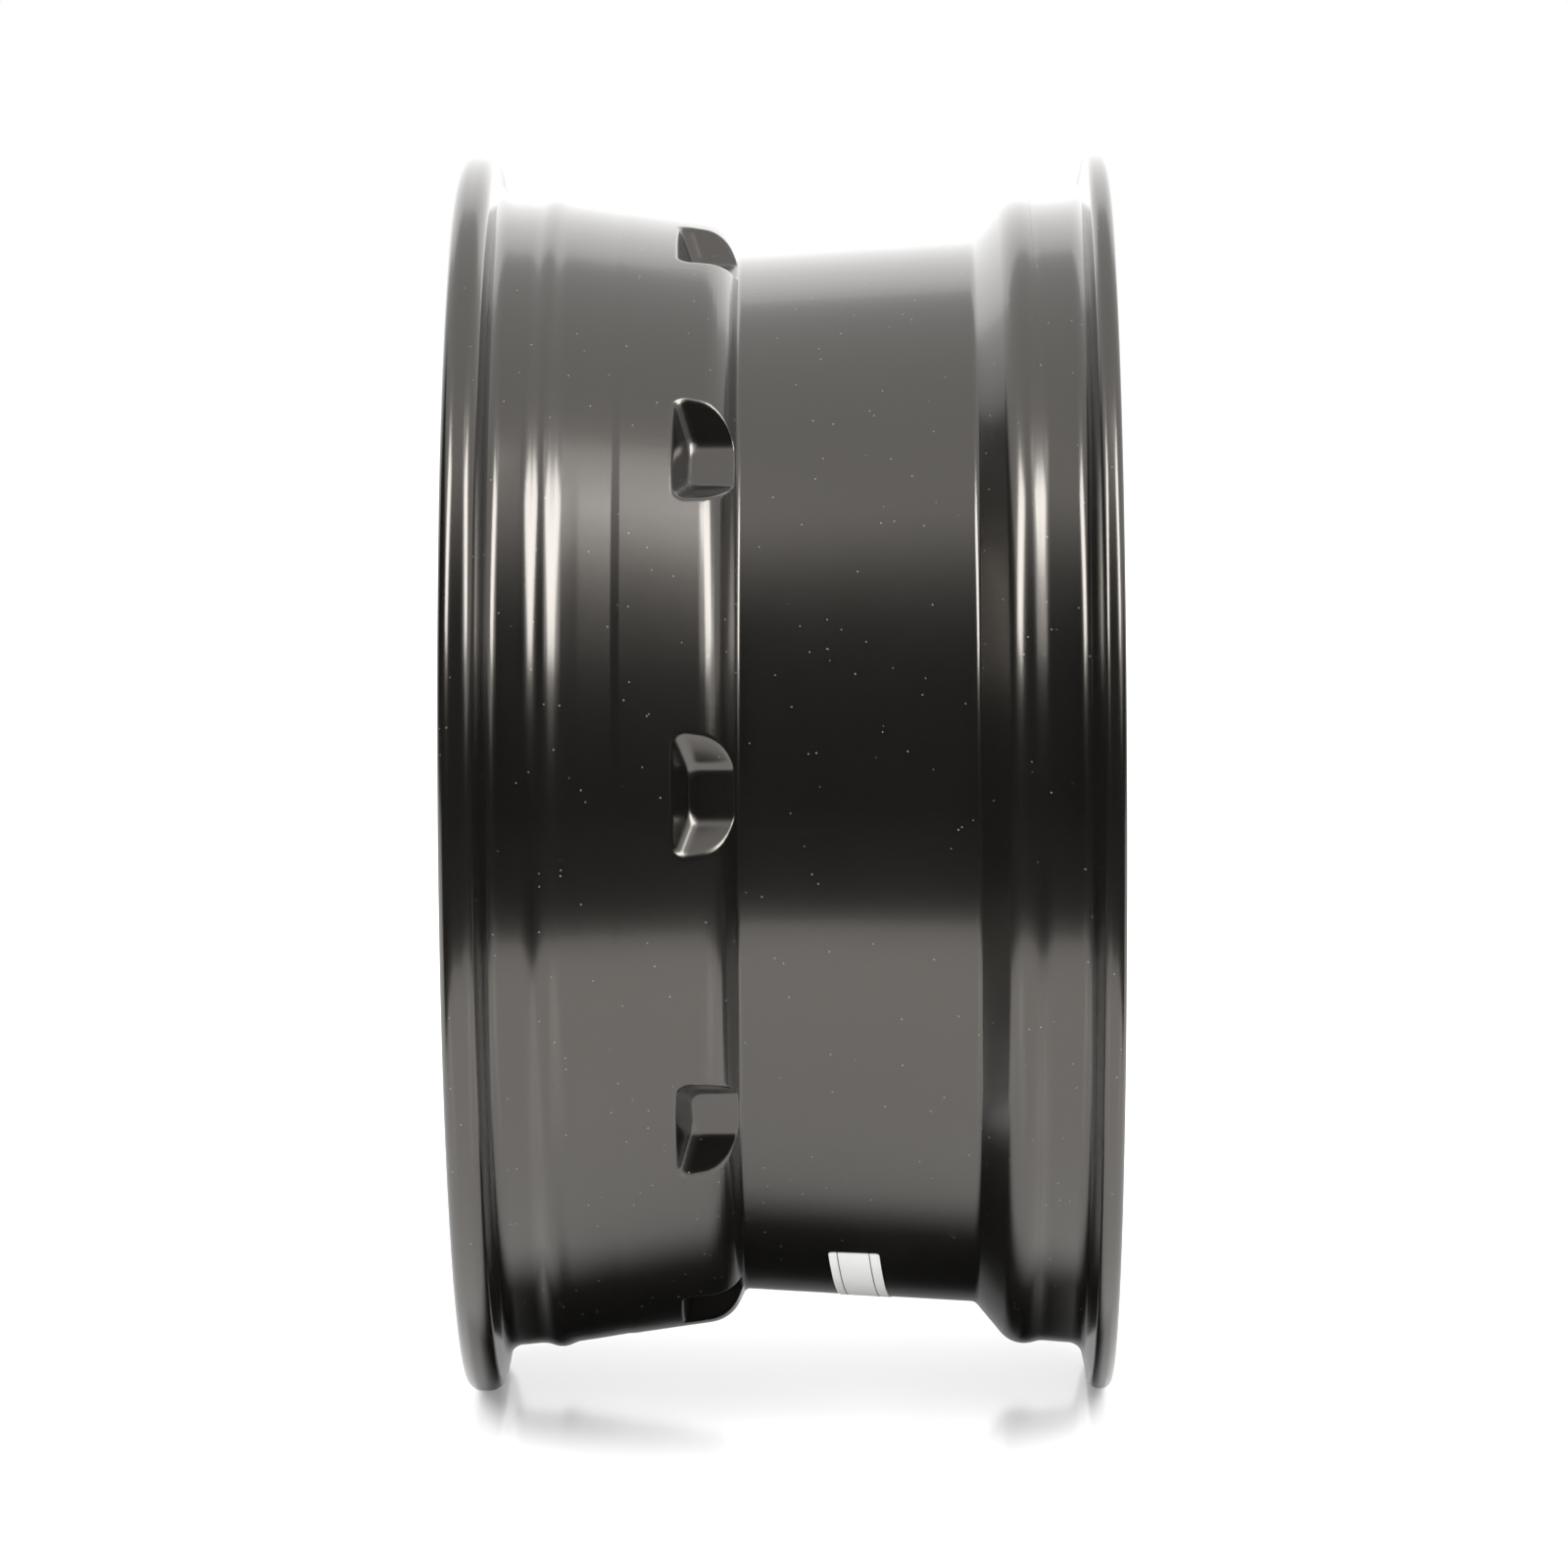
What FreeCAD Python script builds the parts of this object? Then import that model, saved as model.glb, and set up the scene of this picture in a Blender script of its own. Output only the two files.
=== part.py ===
import FreeCAD, Part
import math
import os

Vector = FreeCAD.Vector

# A one-piece cast aluminium car wheel, 18 x 9.0J, with ten straight spokes and a paper label in its well.
# Millimetres. The wheel spins about Y, its painted face looks along -Y, the car is on the +Y side, +Z is up.
# The origin is on the axis, midway between the outer edges of the two flanges.

# Rim sizes that a tyre fits
bead_seat_diameter = 462.0
rim_width = 228.6
flange_height = 17.9
seat_taper = 5.0
seat_corner_radius = 6.5

# Flanges, outboard on the face side and inboard on the car side
outboard_overhang = 17.0
outboard_lean = 1.5
outboard_roll_radius = 12.5
outboard_tip_radius = 2.5
lip_radius = 234.5
lip_depth = 9.0
lip_land = 5.0
inboard_overhang = 12.0
inboard_lean = 2.5
inboard_roll_radius = 6.5
inboard_tip_radius = 2.5
inboard_edge_radius = 226.0
inboard_edge_chamfer = 4.0

# Safety humps beside the bead seats
outboard_dip = 13.3
outboard_hump = 21.0
outboard_hump_height = 2.15
inboard_dip = 14.0
inboard_hump = 25.5
inboard_hump_height = 3.2
inboard_hump_rounding = 14.0

# Ledge between the outboard hump and the shoulder of the well
ledge_start = 28.0
ledge_drop = 1.7
ledge_slope = 8.0

# Drop centre, from the foot of its steep outboard wall to the foot of its inboard ramp
well_start = 94.6
well_depth = 22.6
well_slope = 3.5
step_slope = 64.0
shoulder_rounding = 15.0
foot_rounding = 2.5
ramp_foot = 42.3
ramp_rounding = 4.0

# Wall thickness of the barrel, under the well and under the inboard seat
barrel_wall = 5.0
seat_wall = 8.0

# Hub and its fit on the car
wheel_offset = 35.0
hub_thickness = 36.0
hub_bore_diameter = 66.6
hub_bore_depth = 24.0
bore_chamfer = 2.0
cap_bore_diameter = 60.0
pad_radius = 76.0
pad_height = 11.0
pad_flare = 5.0
pad_rounding = 4.0
hub_front_radius = 76.0
hub_front_rounding = 60.0

# Lug holes with conical bolt seats
lug_count = 5
lug_circle_diameter = 112.0
lug_hole_diameter = 15.0
lug_seat_diameter = 27.0
lug_seat_angle = 60.0
lug_land = 12.0

# Relief pockets in the back of the hub, between the lug holes
relief_diameter = 27.0
relief_depth = 12.0
relief_taper = 7.0

# Spokes and the windows between them
spoke_count = 10
first_spoke_angle = 4.5
spoke_width_at_hub = 22.0
spoke_width_at_rim = 27.0
spoke_back_at_hub = 17.0
spoke_back_at_rim = 50.0
spoke_root_rounding = 22.0
window_inner_radius = 90.0
window_outer_radius = 219.0
window_ledge = 23.0
window_ledge_slope = 45.0
window_inner_rounding = 9.0
window_outer_rounding = 15.0

# Lightening pockets in the shoulder of the well, one over each spoke root
pocket_floor_height = 1.6
pocket_floor_width = 19.7
pocket_opening_width = 46.7
pocket_start = 70.0
pocket_end_slope = 24.0
pocket_corner_rounding = 3.0

# Valve hole through the step wall, in the middle of one window
valve_window = 4
valve_hole_diameter = 11.3
valve_wall = 5.0
valve_seat_diameter = 19.0
valve_seat_depth = 1.0

# Paper label stuck in the well
label_width = 20.0
label_length = 105.0
label_thickness = 0.2
label_glue = 0.05
label_angle = -71.0
label_tilt = 3.3
label_place = 140.7
label_corner_radius = 1.8

# Room that cutting tools have past the metal, and the longest flat in a rounded corner of the section
tool_overrun = 30.0
flat_length = 10.0

# Stations along the axis and radii that follow from the sizes above
seat_radius = bead_seat_diameter / 2
tip_radius = seat_radius + flange_height
overall_width = rim_width + outboard_overhang + inboard_overhang
face_y = -overall_width / 2
back_y = overall_width / 2
outboard_y = face_y + outboard_overhang
inboard_y = back_y - inboard_overhang
hub_face_y = (outboard_y + inboard_y) / 2 - wheel_offset
hub_front_y = hub_face_y - hub_thickness
hub_bore_radius = hub_bore_diameter / 2
cap_bore_radius = cap_bore_diameter / 2
spoke_pitch = 360.0 / spoke_count
lug_pitch = 360.0 / lug_count
axis = Vector(0, 1, 0)
origin = Vector(0, 0, 0)


def slope(degrees):
    return math.tan(math.radians(degrees))


well_radius = seat_radius - well_depth
ramp_foot_y = inboard_y - ramp_foot
well_y = outboard_y + well_start
ramp_foot_radius = well_radius + (ramp_foot_y - well_y) * slope(well_slope)
ledge_y = outboard_y + ledge_start
ledge_radius = seat_radius - ledge_drop
shoulder_run = (ledge_radius - well_radius - (well_y - ledge_y) * slope(ledge_slope)) / (
    slope(step_slope) - slope(ledge_slope)
)
shoulder_y = well_y - shoulder_run
shoulder_radius = well_radius + shoulder_run * slope(step_slope)
lip_floor_y = face_y + lip_depth
lip_floor_radius = window_outer_radius + lip_land
barrel_end_radius = well_radius - barrel_wall
spoke_back_y = hub_face_y - spoke_back_at_hub
spoke_root_y = hub_face_y - spoke_back_at_rim


def rounded_corner(last, here, following, rounding):
    # Points on an arc that rounds one corner of an outline, no further apart than the flat length.
    to_last = (last - here).normalize()
    to_next = (following - here).normalize()
    half_angle = to_last.getAngle(to_next) / 2
    middle = (to_last + to_next).normalize()
    centre = here + middle * (rounding / math.sin(half_angle))
    first_spoke = here + to_last * (rounding / math.tan(half_angle)) - centre
    turn = math.pi - 2 * half_angle
    flats = math.ceil(rounding * turn / flat_length)
    side = math.copysign(1, to_next.cross(to_last).z)
    points = []
    for index in range(flats + 1):
        swing = FreeCAD.Rotation(Vector(0, 0, side), math.degrees(turn * index / flats))
        points.append(centre + swing.multVec(first_spoke))
    return points


def section_face(corners):
    # A flat face in the XY plane, X the radius and Y along the axis, from corners of (y, radius, rounding).
    places = [Vector(radius, y, 0) for y, radius, rounding in corners]
    points = []
    for index, (y, radius, rounding) in enumerate(corners):
        here = places[index]
        following = places[(index + 1) % len(places)]
        if rounding > 0:
            points += rounded_corner(places[index - 1], here, following, rounding)
        else:
            points.append(here)
    return Part.Face(Part.makePolygon(points + points[:1]))


def turned(shape, angle):
    # A copy turned about the axis, from +X up towards +Z.
    copy = shape.copy()
    copy.rotate(origin, axis, -angle)
    return copy


def ring_of(shape, count, first_angle):
    pitch = 360.0 / count
    return [turned(shape, first_angle + pitch * index) for index in range(count)]


def tyre_side():
    # Where the tyre sits, from the outboard flange to the inboard one.
    dip_radius = seat_radius - outboard_dip * slope(seat_taper)
    inboard_dip_radius = seat_radius - inboard_dip * slope(seat_taper)
    return [
        (face_y, tip_radius, outboard_roll_radius),
        (outboard_y - outboard_lean, tip_radius, outboard_tip_radius),
        (outboard_y, seat_radius, seat_corner_radius),
        (outboard_y + outboard_dip, dip_radius, 0),
        (outboard_y + outboard_hump, dip_radius + outboard_hump_height, 0),
        (ledge_y, ledge_radius, 0),
        (shoulder_y, shoulder_radius, shoulder_rounding),
        (well_y, well_radius, foot_rounding),
        (ramp_foot_y, ramp_foot_radius, ramp_rounding),
        (inboard_y - inboard_hump, inboard_dip_radius + inboard_hump_height, inboard_hump_rounding),
        (inboard_y - inboard_dip, inboard_dip_radius, 0),
        (inboard_y, seat_radius, seat_corner_radius),
        (inboard_y + inboard_lean, tip_radius, inboard_tip_radius),
        (back_y, tip_radius, inboard_roll_radius),
    ]


def brake_side():
    # The inside of the barrel, from the inboard edge to the root of the spokes.
    hump_y = inboard_y - inboard_hump
    hump_radius = seat_radius - inboard_dip * slope(seat_taper) + inboard_hump_height
    ramp_angle = math.degrees(math.atan2(hump_radius - ramp_foot_radius, hump_y - ramp_foot_y))
    foot_turn = slope((ramp_angle - well_slope) / 2)
    ramp_shift = seat_wall * slope(ramp_angle / 2)
    foot_y = ramp_foot_y + barrel_wall * foot_turn
    root_radius = barrel_end_radius - (well_y - spoke_root_y) * slope(well_slope) / 2
    return [
        (back_y, inboard_edge_radius, 0),
        (back_y - inboard_edge_chamfer, hump_radius - seat_wall, 0),
        (hump_y + ramp_shift, hump_radius - seat_wall, 0),
        (foot_y, ramp_foot_radius - barrel_wall, 0),
        (spoke_root_y, root_radius, spoke_root_rounding),
    ]


def hub_side():
    # Back of the spokes, the mounting pad, the stepped bore and the front of the hub.
    return [
        (spoke_back_y, pad_radius + pad_flare, pad_rounding),
        (hub_face_y - pad_height, pad_radius + pad_flare, pad_rounding),
        (hub_face_y, pad_radius, bore_chamfer),
        (hub_face_y, hub_bore_radius + bore_chamfer, 0),
        (hub_face_y - bore_chamfer, hub_bore_radius, 0),
        (hub_face_y - hub_bore_depth, hub_bore_radius, 0),
        (hub_face_y - hub_bore_depth, cap_bore_radius, 0),
        (hub_front_y + bore_chamfer, cap_bore_radius, 0),
        (hub_front_y, cap_bore_radius + bore_chamfer, 0),
        (hub_front_y, hub_front_radius, hub_front_rounding),
    ]


def face_side():
    # Front of the spokes where they reach the rim, and the lip of the outboard flange.
    return [
        (lip_floor_y, lip_floor_radius, 0),
        (face_y, lip_radius, 0),
    ]


def blank():
    corners = tyre_side() + brake_side() + hub_side() + face_side()
    return section_face(corners).revolve(origin, axis, 360)


def window_corner(along, half_width, side, y):
    # A point beside a spoke, seen from the middle of the window next to it.
    half_pitch = math.radians(spoke_pitch / 2)
    x = along * math.cos(half_pitch) + half_width * math.sin(half_pitch)
    z = along * math.sin(half_pitch) - half_width * math.cos(half_pitch)
    return Vector(x, y, side * z)


def is_upright(edge, radius):
    # Whether an edge runs along the axis at a radius.
    middle = edge.CenterOfMass
    along_axis = abs(edge.BoundBox.YLength - edge.Length) < edge.Length / 1000
    return along_axis and abs(math.hypot(middle.x, middle.z) - radius) < radius / 1000


def window_tool():
    # The gap between two spokes: a wedge inside a stepped ring, with its upright corners rounded.
    front = face_y - tool_overrun
    back = hub_face_y + tool_overrun
    ledge_top_y = hub_face_y - window_ledge
    ledge_fall = window_outer_radius - barrel_end_radius + barrel_wall
    ledge_foot_y = ledge_top_y + ledge_fall / slope(window_ledge_slope)
    ledge_foot_radius = window_outer_radius - ledge_fall
    widening = (spoke_width_at_rim - spoke_width_at_hub) / 2 / (window_outer_radius - window_inner_radius)
    corners = []
    for along, side in (
        (window_inner_radius / 2, 1),
        (window_outer_radius * 2, 1),
        (window_outer_radius * 2, -1),
        (window_inner_radius / 2, -1),
    ):
        half_width = spoke_width_at_hub / 2 + (along - window_inner_radius) * widening
        corners.append(window_corner(along, half_width, side, front))
    wedge = Part.Face(Part.makePolygon(corners + corners[:1])).extrude(Vector(0, back - front, 0))
    ring = section_face(
        [
            (front, window_inner_radius, 0),
            (front, window_outer_radius, 0),
            (ledge_top_y, window_outer_radius, 0),
            (ledge_foot_y, ledge_foot_radius, 0),
            (back, ledge_foot_radius, 0),
            (back, window_inner_radius, 0),
        ]
    ).revolve(origin, axis, 360)
    tool = wedge.common(ring).Solids[0]
    for radius, rounding in (
        (window_inner_radius, window_inner_rounding),
        (window_outer_radius, window_outer_rounding),
    ):
        upright = [edge for edge in tool.Edges if is_upright(edge, radius)]
        tool = tool.makeFillet(rounding, upright)
    return tool


def pocket_tool():
    # A scoop with a flat floor, flared sides and a slanted end, open towards the well.
    floor = well_radius + pocket_floor_height
    top = tip_radius
    opening_y = outboard_y + pocket_start
    opening_radius = ledge_radius - (opening_y - ledge_y) * slope(ledge_slope)
    half_opening = pocket_opening_width / 2
    half_floor = pocket_floor_width / 2
    opening_height = math.sqrt(opening_radius**2 - half_opening**2)
    flare = (half_opening - half_floor) / (opening_height - floor)
    half_top = half_floor + (top - floor) * flare
    floor_y = opening_y + (opening_radius - floor) * slope(pocket_end_slope)
    top_y = opening_y + (opening_radius - top) * slope(pocket_end_slope)
    far_y = well_y + tool_overrun
    across = [
        Vector(floor, top_y, -half_floor),
        Vector(top, top_y, -half_top),
        Vector(top, top_y, half_top),
        Vector(floor, top_y, half_floor),
    ]
    along = [
        Vector(floor, floor_y, -half_top),
        Vector(floor, far_y, -half_top),
        Vector(top, far_y, -half_top),
        Vector(top, top_y, -half_top),
    ]
    flared = Part.Face(Part.makePolygon(across + across[:1])).extrude(Vector(0, far_y - top_y, 0))
    slanted = Part.Face(Part.makePolygon(along + along[:1])).extrude(Vector(0, 0, 2 * half_top))
    tool = flared.common(slanted).Solids[0]
    end_edges = [
        edge
        for edge in tool.Edges
        if edge.BoundBox.XLength > (top - floor) / 2 and edge.CenterOfMass.y < shoulder_y
    ]
    return tool.makeFillet(pocket_corner_rounding, end_edges)


def lug_tool():
    # Bolt hole, cone for the bolt's head and a round recess for the socket.
    reach = lug_circle_diameter / 2
    hole_radius = lug_hole_diameter / 2
    seat_radius_wide = lug_seat_diameter / 2
    cone_height = (seat_radius_wide - hole_radius) / slope(lug_seat_angle / 2)
    land_y = hub_face_y - lug_land
    recess_y = land_y - cone_height
    recess_height = recess_y - hub_front_y + tool_overrun
    outward = Vector(0, -1, 0)
    hole_start = Vector(reach, hub_face_y + tool_overrun, 0)
    hole = Part.makeCylinder(hole_radius, lug_land + tool_overrun, hole_start, outward)
    cone = Part.makeCone(hole_radius, seat_radius_wide, cone_height, Vector(reach, land_y, 0), outward)
    recess = Part.makeCylinder(seat_radius_wide, recess_height, Vector(reach, recess_y, 0), outward)
    return hole.multiFuse([cone, recess])


def relief_tool():
    reach = lug_circle_diameter / 2
    top_radius = relief_diameter / 2
    end_radius = top_radius - relief_depth * slope(relief_taper)
    overrun_radius = top_radius + tool_overrun * slope(relief_taper)
    height = relief_depth + tool_overrun
    start = Vector(reach, hub_face_y + tool_overrun, 0)
    return Part.makeCone(overrun_radius, end_radius, height, start, Vector(0, -1, 0))


def valve_tool():
    # A hole square to the step wall, with a flat seat on the tyre side and a bore for the stem behind it.
    lean = math.radians(90 - step_slope)
    towards_tyre = Vector(math.sin(lean), math.cos(lean), 0)
    mouth = Vector((shoulder_radius + well_radius) / 2, (shoulder_y + well_y) / 2, 0)
    seat = mouth - towards_tyre * valve_seat_depth
    stem_end = seat - towards_tyre * valve_wall
    wide = valve_seat_diameter / 2
    outer_seat = Part.makeCylinder(wide, tool_overrun, seat, towards_tyre)
    hole_start = seat - towards_tyre * tool_overrun
    hole = Part.makeCylinder(valve_hole_diameter / 2, 2 * tool_overrun, hole_start, towards_tyre)
    stem_room = Part.makeCylinder(wide, tool_overrun, stem_end, towards_tyre * -1)
    return hole.multiFuse([outer_seat, stem_room])


def wheel():
    solid = blank()
    windows = ring_of(window_tool(), spoke_count, first_spoke_angle + spoke_pitch / 2)
    solid = solid.cut(windows)
    pockets = ring_of(pocket_tool(), spoke_count, first_spoke_angle)
    lugs = ring_of(lug_tool(), lug_count, first_spoke_angle + spoke_pitch / 2)
    reliefs = ring_of(relief_tool(), lug_count, first_spoke_angle + spoke_pitch / 2 + lug_pitch / 2)
    valve = turned(valve_tool(), first_spoke_angle + spoke_pitch * (valve_window + 0.5))
    return solid.cut(pockets + lugs + reliefs + [valve]).Solids[0]


def paper_label():
    # A thin strip that follows the cone of the well, a little askew, with rounded corners.
    half_width = label_width / 2
    half_length = label_length / 2
    middle_y = outboard_y + label_place
    first_y = middle_y - label_width
    last_y = middle_y + label_width
    first_radius = well_radius + (first_y - well_y) * slope(well_slope) + label_glue
    last_radius = well_radius + (last_y - well_y) * slope(well_slope) + label_glue
    skin = section_face(
        [
            (first_y, first_radius, 0),
            (first_y, first_radius + label_thickness, 0),
            (last_y, last_radius + label_thickness, 0),
            (last_y, last_radius, 0),
        ]
    ).revolve(origin, axis, 360)
    sheet = Part.makeBox(
        tip_radius,
        label_width,
        label_length,
        Vector(0, middle_y - half_width, -half_length),
    )
    corner_edges = [edge for edge in sheet.Edges if edge.BoundBox.XLength > tip_radius / 2]
    sheet = sheet.makeFillet(label_corner_radius, corner_edges)
    sheet.rotate(Vector(0, middle_y, 0), Vector(1, 0, 0), label_tilt)
    return turned(skin.common(sheet).Solids[0], label_angle)


os.makedirs("parts", exist_ok=True)
wheel().exportStep("parts/wheel.step")
paper_label().exportStep("parts/paper_label.step")
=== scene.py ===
import bpy
import bmesh
import math
from mathutils import Matrix, Vector


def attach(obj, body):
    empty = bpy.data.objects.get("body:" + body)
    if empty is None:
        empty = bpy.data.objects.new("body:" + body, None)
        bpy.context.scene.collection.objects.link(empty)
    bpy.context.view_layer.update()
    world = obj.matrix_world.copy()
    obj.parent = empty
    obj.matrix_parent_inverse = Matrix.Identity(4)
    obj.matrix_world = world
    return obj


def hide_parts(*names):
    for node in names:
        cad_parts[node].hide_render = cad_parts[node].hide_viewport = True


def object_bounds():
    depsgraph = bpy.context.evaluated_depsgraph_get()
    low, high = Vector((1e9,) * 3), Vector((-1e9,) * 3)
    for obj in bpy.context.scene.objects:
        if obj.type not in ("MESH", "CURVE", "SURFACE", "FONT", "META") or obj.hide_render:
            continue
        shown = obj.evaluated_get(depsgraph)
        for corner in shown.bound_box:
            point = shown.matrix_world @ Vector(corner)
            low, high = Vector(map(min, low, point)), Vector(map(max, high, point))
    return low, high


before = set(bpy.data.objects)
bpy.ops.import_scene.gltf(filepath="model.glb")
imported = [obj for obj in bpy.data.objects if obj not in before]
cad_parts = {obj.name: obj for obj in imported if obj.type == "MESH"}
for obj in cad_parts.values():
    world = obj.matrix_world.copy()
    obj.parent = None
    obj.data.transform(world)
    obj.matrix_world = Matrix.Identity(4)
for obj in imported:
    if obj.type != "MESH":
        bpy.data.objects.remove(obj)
cadLow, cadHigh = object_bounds()
mm = 0.001
scene = bpy.context.scene
scene.view_settings.view_transform = "Standard"


# small helpers

def slope(degrees):
    return math.tan(math.radians(degrees))


def softMax(a, b, blend):
    gap = max(blend - abs(a - b), 0) / blend
    return max(a, b) + gap * gap * blend / 4


def softMin(a, b, blend):
    return -softMax(-a, -b, blend)


def newObject(name, bm, material):
    mesh = bpy.data.meshes.new(name)
    bm.to_mesh(mesh)
    bm.free()
    mesh.materials.append(material)
    piece = bpy.data.objects.new(name, mesh)
    scene.collection.objects.link(piece)
    return piece


def setMaterial(node, material):
    for slot in node.material_slots:
        slot.material = material


# node helpers

def newMaterial(name):
    material = bpy.data.materials.new(name)
    material.use_nodes = True
    nodes = material.node_tree.nodes
    return material, nodes, material.node_tree.links, nodes["Principled BSDF"]


def addPlace(nodes):
    return nodes.new("ShaderNodeTexCoord").outputs["Object"]


def addAxes(nodes, links, place):
    axes = nodes.new("ShaderNodeSeparateXYZ")
    links.new(place, axes.inputs[0])
    return axes.outputs


def addTexture(nodes, links, kind, place, **settings):
    texture = nodes.new(kind)
    for key, value in settings.items():
        texture.inputs[key].default_value = value
    links.new(place, texture.inputs["Vector"])
    return texture.outputs


def addNoise(nodes, links, place, **settings):
    return addTexture(nodes, links, "ShaderNodeTexNoise", place, **settings)["Fac"]


def addMath(nodes, links, operation, first, second=0.0):
    node = nodes.new("ShaderNodeMath")
    node.operation = operation
    for socket, value in zip(node.inputs, (first, second)):
        if isinstance(value, (int, float)):
            socket.default_value = value
        else:
            links.new(value, socket)
    return node.outputs[0]


def addDistance(nodes, links, place, point):
    node = nodes.new("ShaderNodeVectorMath")
    node.operation = "DISTANCE"
    links.new(place, node.inputs[0])
    node.inputs[1].default_value = point
    return node.outputs["Value"]


def addRange(nodes, links, value, start, end, low, high, kind="SMOOTHSTEP"):
    node = nodes.new("ShaderNodeMapRange")
    node.interpolation_type = kind
    for key, number in zip(("From Min", "From Max", "To Min", "To Max"), (start, end, low, high)):
        node.inputs[key].default_value = number
    links.new(value, node.inputs["Value"])
    return node.outputs["Result"]


def addMix(nodes, links, factor, first, second):
    node = nodes.new("ShaderNodeMix")
    node.data_type = "RGBA"
    links.new(factor, node.inputs["Factor"])
    node.inputs["A"].default_value = first
    node.inputs["B"].default_value = second
    return node.outputs["Result"]


def addBump(nodes, links, shader, height, strength, depth):
    bump = nodes.new("ShaderNodeBump")
    bump.inputs["Strength"].default_value = strength
    bump.inputs["Distance"].default_value = depth
    links.new(height, bump.inputs["Height"])
    links.new(bump.outputs["Normal"], shader.inputs["Normal"])


# black paint over cast and turned aluminium

paint = {
    "colour": (0.0042, 0.0039, 0.0033, 1),
    "sheen": (1.0, 0.93, 0.85, 1),
    "ior": 1.82,
    "coat": 0.35,
    "coatRoughness": 0.12,
    "clearRoughness": 0.19,
    "cloudyRoughness": 0.26,
    "cloudScale": 14.0,
    "peelScale": 300.0,
    "peelDepth": 0.03 * mm,
    "peelStrength": 0.3,
    "dustColour": (0.30, 0.29, 0.27, 1),
    "dustScale": 520.0,
    "dustSize": 0.16,
    "dustShare": 0.035,
    "dustCover": 0.55,
}


def makePaint():
    material, nodes, links, shader = newMaterial("blackPaint")
    place = addPlace(nodes)
    peel = addNoise(nodes, links, place, Scale=paint["peelScale"], Detail=2.0, Roughness=0.45)
    cloud = addNoise(nodes, links, place, Scale=paint["cloudScale"], Detail=4.0, Roughness=0.6)
    addBump(nodes, links, shader, peel, paint["peelStrength"], paint["peelDepth"])
    # a speck of dust in a few of the cells
    specks = addTexture(nodes, links, "ShaderNodeTexVoronoi", place, Scale=paint["dustScale"], Randomness=1.0)
    dot = addMath(nodes, links, "LESS_THAN", specks["Distance"], paint["dustSize"])
    tint = nodes.new("ShaderNodeSeparateColor")
    links.new(specks["Color"], tint.inputs[0])
    rare = addMath(nodes, links, "LESS_THAN", tint.outputs[0], paint["dustShare"])
    dust = addMath(nodes, links, "MULTIPLY", dot, rare)
    cover = addMath(nodes, links, "MULTIPLY", dust, paint["dustCover"])
    colour = addMix(nodes, links, cover, paint["colour"], paint["dustColour"])
    links.new(colour, shader.inputs["Base Color"])
    clear, cloudy = paint["clearRoughness"], paint["cloudyRoughness"]
    links.new(addRange(nodes, links, cloud, 0, 1, clear, cloudy, "LINEAR"), shader.inputs["Roughness"])
    shader.inputs["IOR"].default_value = paint["ior"]
    shader.inputs["Specular Tint"].default_value = paint["sheen"]
    shader.inputs["Coat Weight"].default_value = paint["coat"]
    shader.inputs["Coat Roughness"].default_value = paint["coatRoughness"]
    return material


# rim: the tyre side, both flanges and the lip, turned as one outline

rim = {
    "seatRadius": 231.0 * mm,
    "seatSlope": 5.0,
    "rimWidth": 228.6 * mm,
    "flangeHeight": 17.9 * mm,
    "flangeRoot": 6.5 * mm,
    "outboardOverhang": 17.0 * mm,
    "outboardLean": 3.5 * mm,
    "outboardRoll": 6.0 * mm,
    "outboardCorner": 5.5 * mm,
    "inboardOverhang": 12.0 * mm,
    "inboardLean": 3.8 * mm,
    "inboardCorner": 3.6 * mm,
    "lipDepth": 9.0 * mm,
    "lipRadius": 224.0 * mm,
    "lipEdge": 234.5 * mm,
    "lipRounding": 3.0 * mm,
    "outboardSeat": 14.8 * mm,
    "outboardHump": 21.0 * mm,
    "outboardHumpHeight": 2.25 * mm,
    "outboardHumpRounding": 9.0 * mm,
    "dipRounding": 10.0 * mm,
    "ledgeStart": 27.2 * mm,
    "ledgeDrop": 1.7 * mm,
    "ledgeSlope": 8.0,
    "ledgeRounding": 12.0 * mm,
    "line": 48.8 * mm,
    "lineDepth": 0.27 * mm,
    "lineEase": 14.0 * mm,
    "lineEaseRounding": 90.0 * mm,
    "lineHalf": 1.5 * mm,
    "lineRounding": 6.0 * mm,
    "shoulderRounding": 15.0 * mm,
    "stepSlope": 64.0,
    "wellStart": 94.6 * mm,
    "wellDepth": 22.6 * mm,
    "wellSlope": 3.5,
    "wellRounding": 2.5 * mm,
    "rampFoot": 42.3 * mm,
    "rampRounding": 4.0 * mm,
    "inboardHump": 26.5 * mm,
    "inboardHumpHeight": 3.2 * mm,
    "inboardHumpRounding": 12.0 * mm,
    "inboardSeat": 17.0 * mm,
    "inboardSeatRounding": 11.0 * mm,
    "inboardDip": 14.0 * mm,
    "backEdge": 226.0 * mm,
    "backRounding": 1.2 * mm,
    "backDepth": 4.0 * mm,
    "backWall": 4.8 * mm,
    "steps": 320,
    "arcStep": 9.0,
}
width = rim["rimWidth"] + rim["outboardOverhang"] + rim["inboardOverhang"]
faceY = -width / 2
backY = width / 2
outboardY = faceY + rim["outboardOverhang"]
inboardY = backY - rim["inboardOverhang"]
tipRadius = rim["seatRadius"] + rim["flangeHeight"]
wellRadius = rim["seatRadius"] - rim["wellDepth"]
wellY = outboardY + rim["wellStart"]
ledgeY = outboardY + rim["ledgeStart"]
ledgeRadius = rim["seatRadius"] - rim["ledgeDrop"]
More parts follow.
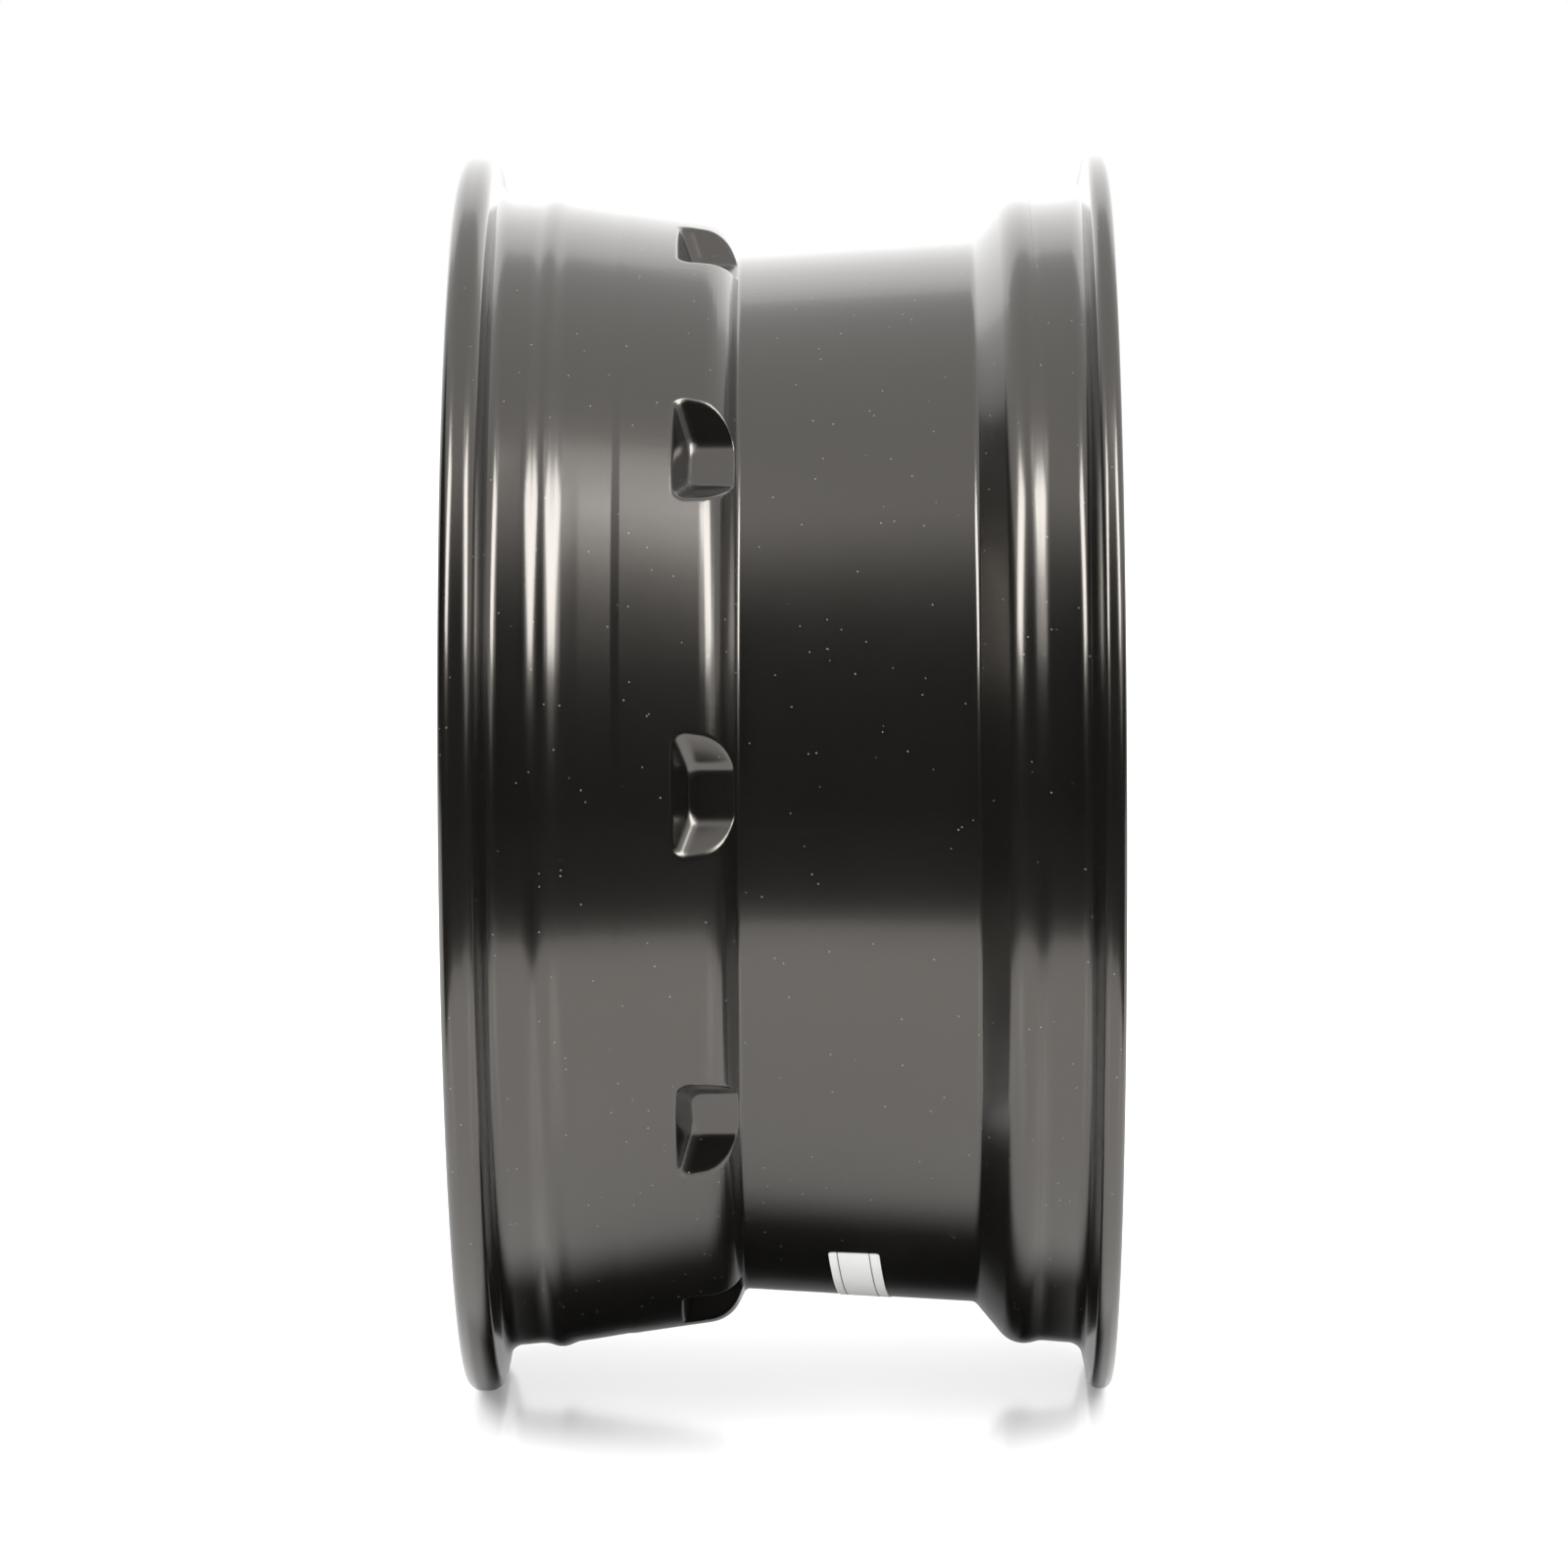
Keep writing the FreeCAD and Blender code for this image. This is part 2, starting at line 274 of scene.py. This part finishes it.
shoulderRun = (ledgeRadius - wellRadius - (wellY - ledgeY) * slope(rim["ledgeSlope"])) / (
    slope(rim["stepSlope"]) - slope(rim["ledgeSlope"])
)
shoulderY = wellY - shoulderRun
shoulderRadius = wellRadius + shoulderRun * slope(rim["stepSlope"])

pocket = {
    "count": 10,
    "firstAngle": 4.65,
    "floor": wellRadius + 1.6 * mm,
    "floorWidth": 19.7 * mm,
    "openingWidth": 47.9 * mm,
    "startY": outboardY + 70.0 * mm,
    "endSlope": 24.0,
    "cornerRadius": 5.0 * mm,
    "edgeBlend": 1.2 * mm,
    "floorBlend": 2.2 * mm,
    "reach": 8.5,  # half of the angle in which the rim is made finer
    "margin": 3.0 * mm,
    "footMargin": 4.0 * mm,
    "searchBelow": 5.0 * mm,
    "searchAbove": 25.0 * mm,
    "searchSteps": 16,
    "step": 0.8 * mm,
    "cuts": 4,
}
pocketZone = (pocket["startY"] - pocket["margin"], wellY + pocket["footMargin"])


def ledgeAt(y):
    return ledgeRadius - (y - ledgeY) * slope(rim["ledgeSlope"])


def seatAt(run):
    return rim["seatRadius"] - run * slope(rim["seatSlope"])


def rimCorners():
    seat = rim["seatRadius"]
    humpFoot = seatAt(rim["outboardSeat"])
    inboardDip = seatAt(rim["inboardDip"])
    lineY = outboardY + rim["line"]
    easeY, lineStart, lineEnd = lineY - rim["lineEase"], lineY - rim["lineHalf"], lineY + rim["lineHalf"]
    rampY = inboardY - rim["rampFoot"]
    rampRadius = wellRadius + (rampY - wellY) * slope(rim["wellSlope"])
    return [  # along the axis, radius, rounding
        (faceY + rim["lipDepth"], rim["lipRadius"], 0),
        (faceY, rim["lipEdge"], rim["lipRounding"]),
        (faceY, tipRadius, rim["outboardCorner"]),
        (outboardY - rim["outboardLean"], tipRadius, rim["outboardRoll"]),
        (outboardY, seat, rim["flangeRoot"]),
        (outboardY + rim["outboardSeat"], humpFoot, rim["dipRounding"]),
        (outboardY + rim["outboardHump"], humpFoot + rim["outboardHumpHeight"], rim["outboardHumpRounding"]),
        (ledgeY, ledgeRadius, rim["ledgeRounding"]),
        (easeY, ledgeAt(easeY), rim["lineEaseRounding"]),
        (lineStart, ledgeAt(lineStart) - rim["lineDepth"], rim["lineRounding"]),
        (lineEnd, ledgeAt(lineEnd), rim["lineRounding"]),
        (pocketZone[0], ledgeAt(pocketZone[0]), 0),
        (shoulderY, shoulderRadius, rim["shoulderRounding"]),
        (wellY, wellRadius, rim["wellRounding"]),
        (rampY, rampRadius, rim["rampRounding"]),
        (inboardY - rim["inboardHump"], inboardDip + rim["inboardHumpHeight"], rim["inboardHumpRounding"]),
        (inboardY - rim["inboardSeat"], seatAt(rim["inboardSeat"]), rim["inboardSeatRounding"]),
        (inboardY, seat, rim["flangeRoot"]),
        (inboardY + rim["inboardLean"], tipRadius, rim["inboardCorner"]),
        (backY, tipRadius, rim["inboardCorner"]),
        (backY, rim["backEdge"], rim["backRounding"]),
        (backY - rim["backDepth"], inboardDip - rim["backWall"], 0),
    ]


def roundCorner(last, here, following, rounding):
    toLast = (last - here).normalized()
    toNext = (following - here).normalized()
    half = toLast.angle(toNext) / 2
    centre = here + (toLast + toNext).normalized() * (rounding / math.sin(half))
    arm = here + toLast * (rounding / math.tan(half)) - centre
    turn = math.pi - 2 * half
    flats = max(2, math.ceil(math.degrees(turn) / rim["arcStep"]))
    side = math.copysign(1, toNext.cross(toLast).z)
    return [centre + Matrix.Rotation(side * turn * part / flats, 3, "Z") @ arm for part in range(flats + 1)]


def rimOutline():
    corners = rimCorners()
    spots = [Vector((radius, y, 0)) for y, radius, rounding in corners]
    points = []
    for index, (y, radius, rounding) in enumerate(corners):
        fine = pocketZone[0] <= y < wellY  # short steps where the pockets sink in
        arc = [spots[index]]
        if rounding > 0:
            arc = roundCorner(spots[index - 1], spots[index], spots[index + 1], rounding)
        points += [(point, fine) for point in arc]
    outline = []
    for (start, fine), (end, endFine) in zip(points, points[1:]):
        parts = max(1, math.ceil((end - start).length / pocket["step"])) if fine else 1
        outline += [start.lerp(end, part / parts) for part in range(parts)]
    return outline + [points[-1][0]]


# valve hole in the step

valve = {
    "angle": 166.5,
    "radius": 9.5 * mm,
    "reach": 40.0 * mm,
    "fineReach": 16.0 * mm,
    "snap": 0.45 * mm,
}


def valveAxis():
    lean = math.radians(90 - rim["stepSlope"])
    turn = Matrix.Rotation(math.radians(-valve["angle"]), 3, "Y")
    place = turn @ Vector(((shoulderRadius + wellRadius) / 2, (shoulderY + wellY) / 2, 0))
    return place, turn @ Vector((math.sin(lean), math.cos(lean), 0))


def valveDistance(place):
    mouth, direction = valveAxis()
    arm = place - mouth
    if arm.length > valve["reach"]:
        return arm.length
    return (arm - direction * arm.dot(direction)).length


def nearValve(face):
    return valveDistance(face.calc_center_median()) < valve["radius"]


def openValve(bm):
    mouth, direction = valveAxis()
    for v in bm.verts:
        distance = valveDistance(v.co)
        if abs(distance - valve["radius"]) < valve["snap"]:  # draw the nearest points onto the hole's edge
            along = direction * (v.co - mouth).dot(direction)
            v.co = mouth + along + (v.co - mouth - along) * (valve["radius"] / distance)
    bmesh.ops.delete(bm, geom=[face for face in bm.faces if nearValve(face)], context="FACES")


# pockets in the shoulder

def pocketAngle(place):  # angle from the middle of the nearest pocket
    pitch = math.tau / pocket["count"]
    angle = math.atan2(place.z, place.x) - math.radians(pocket["firstAngle"])
    return (angle + pitch / 2) % pitch - pitch / 2


def pocketFlare():
    halfOpening = pocket["openingWidth"] / 2
    height = math.sqrt(ledgeAt(pocket["startY"])**2 - halfOpening**2)
    return (halfOpening - pocket["floorWidth"] / 2) / (height - pocket["floor"])


def wallHeight(across, y, flare):  # lowest height at which the pocket's rounded outline takes in this place
    corner = pocket["cornerRadius"]
    low = pocket["floor"] - pocket["searchBelow"]
    high = pocket["floor"] + pocket["searchAbove"]
    for step in range(pocket["searchSteps"]):
        height = (low + high) / 2
        side = across - pocket["floorWidth"] / 2 - (height - pocket["floor"]) * flare + corner
        endY = pocket["startY"] + (ledgeAt(pocket["startY"]) - height) * slope(pocket["endSlope"])
        end = endY + corner - y
        gap = math.hypot(max(side, 0), max(end, 0)) + min(max(side, end), 0) - corner
        if gap > 0:
            low = height
        else:
            high = height
    return high


def refinePockets(bm, reach):
    rings = []
    for edge in bm.edges:
        a, b = (v.co for v in edge.verts)
        if abs(a.y - b.y) < 1e-7 and pocketZone[0] <= a.y <= pocketZone[1]:
            middle = (a + b) / 2
            if abs(pocketAngle(middle)) < reach or valveDistance(middle) < valve["fineReach"]:
                rings.append(edge)
    bmesh.ops.subdivide_edges(bm, edges=rings, cuts=pocket["cuts"], use_grid_fill=True)


def sinkPockets(bm):
    reach = math.radians(pocket["reach"])
    flare = pocketFlare()
    refinePockets(bm, reach)
    for v in bm.verts:
        angle = pocketAngle(v.co)
        if abs(angle) > reach or not pocketZone[0] <= v.co.y <= pocketZone[1]:
            continue
        radius = math.hypot(v.co.x, v.co.z)
        turn = math.atan2(v.co.z, v.co.x) - angle
        along = radius * math.cos(angle)
        across = radius * math.sin(angle)
        cut = softMax(pocket["floor"], wallHeight(abs(across), v.co.y, flare), pocket["floorBlend"])
        if cut < along + pocket["edgeBlend"]:
            along = softMin(along, cut, pocket["edgeBlend"])
        v.co.x = along * math.cos(turn) - across * math.sin(turn)
        v.co.z = along * math.sin(turn) + across * math.cos(turn)


def makeRim():
    bm = bmesh.new()
    chain = [bm.verts.new(point) for point in rimOutline()]
    edges = [bm.edges.new(pair) for pair in zip(chain, chain[1:])]
    bmesh.ops.spin(
        bm,
        geom=chain + edges,
        cent=(0, 0, 0),
        axis=(0, 1, 0),
        angle=math.tau,
        steps=rim["steps"],
        use_merge=True,
    )
    bmesh.ops.remove_doubles(bm, verts=bm.verts, dist=1e-7)
    bmesh.ops.recalc_face_normals(bm, faces=bm.faces)
    sinkPockets(bm)
    openValve(bm)
    for face in bm.faces:
        face.smooth = True
    print("rim triangles", sum(len(face.verts) - 2 for face in bm.faces))
    mesh = bpy.data.meshes.new("rimTurned")
    bm.to_mesh(mesh)
    bm.free()
    return mesh


# wheel: the spokes, hub and barrel of the construction with the finer rim in place of theirs

wheel = {
    "flatAngle": 0.5,
    "sharpAngle": 32.0,
    "edgeBreak": 1.2 * mm,
    "edgeSegments": 2,
    "windowRadii": (82.0 * mm, 223.0 * mm),
    "windowBack": -36.0 * mm,
    "border": (  # along the axis and radius of a line inside the wall, in mm: the rim is outside it
        (-130.0, 224.05),
        (-100.0, 224.05),
        (-57.0, 223.0),
        (-42.0, 208.0),
        (-25.0, 206.0),
        (-17.2, 205.9),
        (72.2, 211.4),
        (93.0, 228.0),
        (124.6, 227.6),
        (124.9, 225.1),
        (130.0, 225.1),
    ),
}


def outsideBorder(place):
    radius = math.hypot(place.x, place.z) / mm
    y = place.y / mm
    for (y0, r0), (y1, r1) in zip(wheel["border"], wheel["border"][1:]):
        if y0 <= y <= y1:
            return radius > r0 + (r1 - r0) * (y - y0) / (y1 - y0)
    return False


def isSharp(edge):
    return len(edge.link_faces) == 2 and edge.calc_face_angle() > math.radians(wheel["sharpAngle"])


def onWindow(edge):
    inner, outer = wheel["windowRadii"]
    radii = [math.hypot(v.co.x, v.co.z) for v in edge.verts]
    inFront = max(v.co.y for v in edge.verts) < wheel["windowBack"]
    return inFront and inner < min(radii) and max(radii) < outer


def makeWheel(node, material):
    rimMesh = makeRim()
    bm = bmesh.new()
    bm.from_mesh(node.data)
    bm.transform(node.matrix_world)
    bmesh.ops.remove_doubles(bm, verts=bm.verts, dist=1e-6)
    rimFaces = [face for face in bm.faces if outsideBorder(face.calc_center_median()) and not nearValve(face)]
    bmesh.ops.delete(bm, geom=rimFaces, context="FACES")
    bmesh.ops.recalc_face_normals(bm, faces=bm.faces)
    flat = math.radians(wheel["flatAngle"])
    bmesh.ops.dissolve_limit(bm, angle_limit=flat, verts=bm.verts, edges=bm.edges)
    bmesh.ops.bevel(
        bm,
        geom=[edge for edge in bm.edges if isSharp(edge) and onWindow(edge)],
        offset=wheel["edgeBreak"],
        offset_type="OFFSET",
        segments=wheel["edgeSegments"],
        profile=0.5,
        affect="EDGES",
        material=-1,
        clamp_overlap=True,
    )
    for face in bm.faces:
        face.smooth = True
        face.material_index = 0
    for edge in bm.edges:
        if isSharp(edge):
            edge.smooth = False
    bm.from_mesh(rimMesh)
    bpy.data.meshes.remove(rimMesh)
    print("wheel triangles", sum(len(face.verts) - 2 for face in bm.faces))
    piece = newObject("wheel", bm, material)
    steady = piece.modifiers.new("steadyNormals", "WEIGHTED_NORMAL")
    steady.keep_sharp = True
    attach(piece, "root")
    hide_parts("wheel")


# paper label

label = {
    "colour": (0.80, 0.80, 0.78, 1),
    "ink": (0.10, 0.10, 0.10, 1),
    "roughness": 0.6,
    "middleY": outboardY + 140.7 * mm,
    "angle": -71.0,
    "tilt": 3.3,
    "width": 20.0 * mm,
    "lines": (-0.33, 0.30),  # in widths from the middle
    "lineWidth": 0.45 * mm,
    "fibreScale": 900.0,
    "fibreStrength": 0.15,
    "fibreDepth": 0.03 * mm,
}


def makePaper():
    material, nodes, links, shader = newMaterial("labelPaper")
    place = addPlace(nodes)
    axes = addAxes(nodes, links, place)
    angle = addMath(nodes, links, "ARCTAN2", axes["Z"], axes["X"])
    around = addMath(nodes, links, "SUBTRACT", angle, math.radians(label["angle"]))
    lean = addMath(nodes, links, "MULTIPLY", around, wellRadius * slope(label["tilt"]))
    across = addMath(nodes, links, "SUBTRACT", axes["Y"], label["middleY"])
    across = addMath(nodes, links, "ADD", across, lean)
    ruled = 0.0
    for share in label["lines"]:
        gap = addMath(nodes, links, "SUBTRACT", across, share * label["width"])
        gap = addMath(nodes, links, "ABSOLUTE", gap)
        near = addMath(nodes, links, "LESS_THAN", gap, label["lineWidth"] / 2)
        ruled = addMath(nodes, links, "MAXIMUM", ruled, near)
    fibre = addNoise(nodes, links, place, Scale=label["fibreScale"], Detail=3.0)
    addBump(nodes, links, shader, fibre, label["fibreStrength"], label["fibreDepth"])
    links.new(addMix(nodes, links, ruled, label["colour"], label["ink"]), shader.inputs["Base Color"])
    shader.inputs["Roughness"].default_value = label["roughness"]
    return material


# studio: a white room, with painted dark reflections: sheets, and a zone of the floor, that only glossy rays
# see, standing in for the unlit room around the camera

studio = {
    "sky": 1.0,
    "floorColour": (0.88, 0.88, 0.88, 1),
    "floorGlow": 0.22,
    "floorShine": 0.25,
    "floorRoughness": 0.12,
    "floorSize": 16.0,
    "shineReach": 0.45,
    "shineFade": 0.35,
    # painted shade: the floor's colour where reflections show it dark under the wheel
    "shade": (0.02, 0.02, 0.02, 1),
    "shadeReach": 0.145,
    "shadeFade": 0.05,
    "floorDim": 0.2,
    # painted dark reflections of the unlit room: their colour, the floor zone ahead of the wheel, and where
    # and how high the sheets stand
    "reflectedDark": (0.004, 0.004, 0.004, 1),
    "reflectedDarkCentre": 0.23,
    "reflectedDarkReach": 0.43,
    "reflectedDarkEdge": 0.02,
    "reflectedDarkLift": 2.0 * mm,
    "reflectedDarkDistance": 3.9,
    "reflectedDarkHalfWidth": 3.4,
    "reflectedDarkTop": 8.0,
    "reflectedDarkFade": 5.7,
    "leftStart": -2.2,
    "leftTop": 2.4,
    "rightStart": -1.2,
    "rightTop": 0.9,
    "boxes": (  # name, place, target, size, power
        ("backBox", (-3.2, 0, 1.6), (0, 0, 0.2), (5.0, 3.2), 45.0),
        ("leftBox", (1.9, -2.0, 2.5), (0, 0, 0), (1.3, 2.4), 95.0),
        ("rightBox", (1.9, 2.0, 2.5), (0, 0, 0), (1.3, 2.4), 95.0),
        ("rightPanel", (2.0, 0.98, 2.57), (0, 0, 0), (0.62, 2.8), 9.5),
    ),
}


def makeFloorMaterial():
    material, nodes, links, shader = newMaterial("paleFloor")
    place = addPlace(nodes)
    axes = addAxes(nodes, links, place)
    awayX = addMath(nodes, links, "ABSOLUTE", axes["X"])
    awayY = addMath(nodes, links, "ABSOLUTE", axes["Y"])
    away = addMath(nodes, links, "MAXIMUM", awayX, awayY)
    # painted shade, seen only by glossy rays: the floor dark under the wheel where its shadow falls, a little
    # dimmer away from it, and dark in front of the wheel as a painted reflection of the unlit room
    reach, fade = studio["shadeReach"], studio["shadeFade"]
    under = addRange(nodes, links, away, reach - fade, reach, 1, studio["floorDim"])
    gap = addDistance(nodes, links, place, (studio["reflectedDarkCentre"], 0, cadLow.z))
    reach, edge = studio["reflectedDarkReach"], studio["reflectedDarkEdge"]
    reflectedDark = addRange(nodes, links, gap, reach - edge, reach + edge, 0, 1)
    ahead = addMath(nodes, links, "GREATER_THAN", axes["X"], studio["reflectedDarkCentre"])
    reflectedDark = addMath(nodes, links, "MULTIPLY", ahead, reflectedDark)
    mirrored = nodes.new("ShaderNodeLightPath").outputs["Is Glossy Ray"]
    dark = addMath(nodes, links, "MAXIMUM", under, reflectedDark)
    dark = addMath(nodes, links, "MULTIPLY", dark, mirrored)
    # painted shade and painted dark reflection mixed into the floor's colour for glossy rays only
    links.new(addMix(nodes, links, dark, studio["floorColour"], studio["shade"]), shader.inputs["Base Color"])
    light = addMath(nodes, links, "SUBTRACT", 1.0, dark)
    glow = addMath(nodes, links, "MULTIPLY", light, studio["floorGlow"])
    links.new(glow, shader.inputs["Emission Strength"])
    shader.inputs["Emission Color"].default_value = (1, 1, 1, 1)
    # dull away from the wheel
    reach, fade = studio["shineReach"], studio["shineFade"]
    shine = addRange(nodes, links, away, reach, reach + fade, studio["floorShine"], 0)
    links.new(shine, shader.inputs["Specular IOR Level"])
    shader.inputs["Roughness"].default_value = studio["floorRoughness"]
    return material


# painted dark reflection: a sheet that only glossy rays see, fading out towards the top
def makeReflectedDark():
    material, nodes, links, shader = newMaterial("reflectedDarkSheet")
    shader.inputs["Base Color"].default_value = studio["reflectedDark"]
    shader.inputs["Roughness"].default_value = 1.0
    shader.inputs["Specular IOR Level"].default_value = 0.0
    height = addAxes(nodes, links, addPlace(nodes))["Z"]
    top = studio["reflectedDarkTop"]
    thin = addRange(nodes, links, height, top - studio["reflectedDarkFade"], top, 1, 0)
    links.new(thin, shader.inputs["Alpha"])
    return material


def makeSheet(name, centre, across, up, material):
    across, up = Vector(across), Vector(up)
    turn = Matrix((across, up, across.cross(up).normalized())).transposed().to_4x4()
    bm = bmesh.new()
    place = Matrix.Translation(centre) @ turn
    bmesh.ops.create_grid(bm, x_segments=1, y_segments=1, size=0.5, matrix=place)
    piece = newObject(name, bm, material)
    return piece


def makeBox(name, place, target, size, power):
    lamp = bpy.data.lights.new(name, "AREA")
    lamp.shape = "RECTANGLE"
    lamp.size, lamp.size_y = size
    lamp.energy = power
    piece = bpy.data.objects.new(name, lamp)
    scene.collection.objects.link(piece)
    turn = (Vector(target) - Vector(place)).to_track_quat("-Z", "Y")
    piece.matrix_world = Matrix.Translation(place) @ turn.to_matrix().to_4x4()
    piece.visible_camera = False


def makeStudio():
    size = studio["floorSize"]
    makeSheet("floor", (0, 0, cadLow.z), (size, 0, 0), (0, size, 0), makeFloorMaterial())
    reflectedDark = makeReflectedDark()
    foot = cadLow.z + studio["reflectedDarkLift"]
    far, wide = studio["reflectedDarkDistance"], studio["reflectedDarkHalfWidth"]
    flags = (  # both ends along X, both ends along Y, top
        (far, far, -wide, wide, studio["reflectedDarkTop"]),
        (studio["leftStart"], far, -wide, -wide, studio["leftTop"]),
        (studio["rightStart"], far, wide, wide, studio["rightTop"]),
    )
    for index, (x0, x1, y0, y1, top) in enumerate(flags):
        centre = ((x0 + x1) / 2, (y0 + y1) / 2, (foot + top) / 2)
        flag = makeSheet(f"reflectedDarkFlag{index + 1}", centre, (x1 - x0, y1 - y0, 0), (0, 0, top - foot), reflectedDark)
        # painted dark reflection of the unlit room: hidden from the camera, from diffuse light and from
        # shadows
        flag.visible_camera = False
        flag.visible_diffuse = False
        flag.visible_shadow = False
    world = bpy.data.worlds.new("studioWorld")
    scene.world = world
    world.use_nodes = True
    background = world.node_tree.nodes["Background"]
    background.inputs["Color"].default_value = (1, 1, 1, 1)
    background.inputs["Strength"].default_value = studio["sky"]
    for box in studio["boxes"]:
        makeBox(*box)


# camera

camera = {
    "distance": 3.212,
    "elevation": 7.0,
    "footY": 25.5 * mm,
    "targetY": -1.3 * mm,
    "targetDrop": 5.3 * mm,
    "roll": 0.33,
    "lens": 182.7,
    "sensor": 36.0,
    "clip": (0.05, 60.0),
}


def makeCamera():
    data = bpy.data.cameras.new("photoCamera")
    data.lens = camera["lens"]
    data.sensor_width = camera["sensor"]
    data.clip_start, data.clip_end = camera["clip"]
    lift = math.radians(camera["elevation"])
    out = Vector((math.cos(lift), 0, math.sin(lift)))
    up = Vector((-math.sin(lift), 0, math.cos(lift)))
    place = out * camera["distance"] + Vector((0, camera["footY"], 0))
    target = up * -camera["targetDrop"] + Vector((0, camera["targetY"], 0))
    aim = (target - place).to_track_quat("-Z", "Y").to_matrix()
    turn = aim @ Matrix.Rotation(math.radians(-camera["roll"]), 3, "Z")
    view = bpy.data.objects.new("photoCamera", data)
    view.matrix_world = Matrix.Translation(place) @ turn.to_4x4()
    scene.collection.objects.link(view)
    scene.camera = view


makeCamera()
makeStudio()
print("studio and camera ready")
blackPaint = makePaint()
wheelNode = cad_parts["wheel"]
setMaterial(wheelNode, blackPaint)
setMaterial(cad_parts["paper_label"], makePaper())
print("paint and paper ready")
makeWheel(wheelNode, blackPaint)
print("wheel ready")
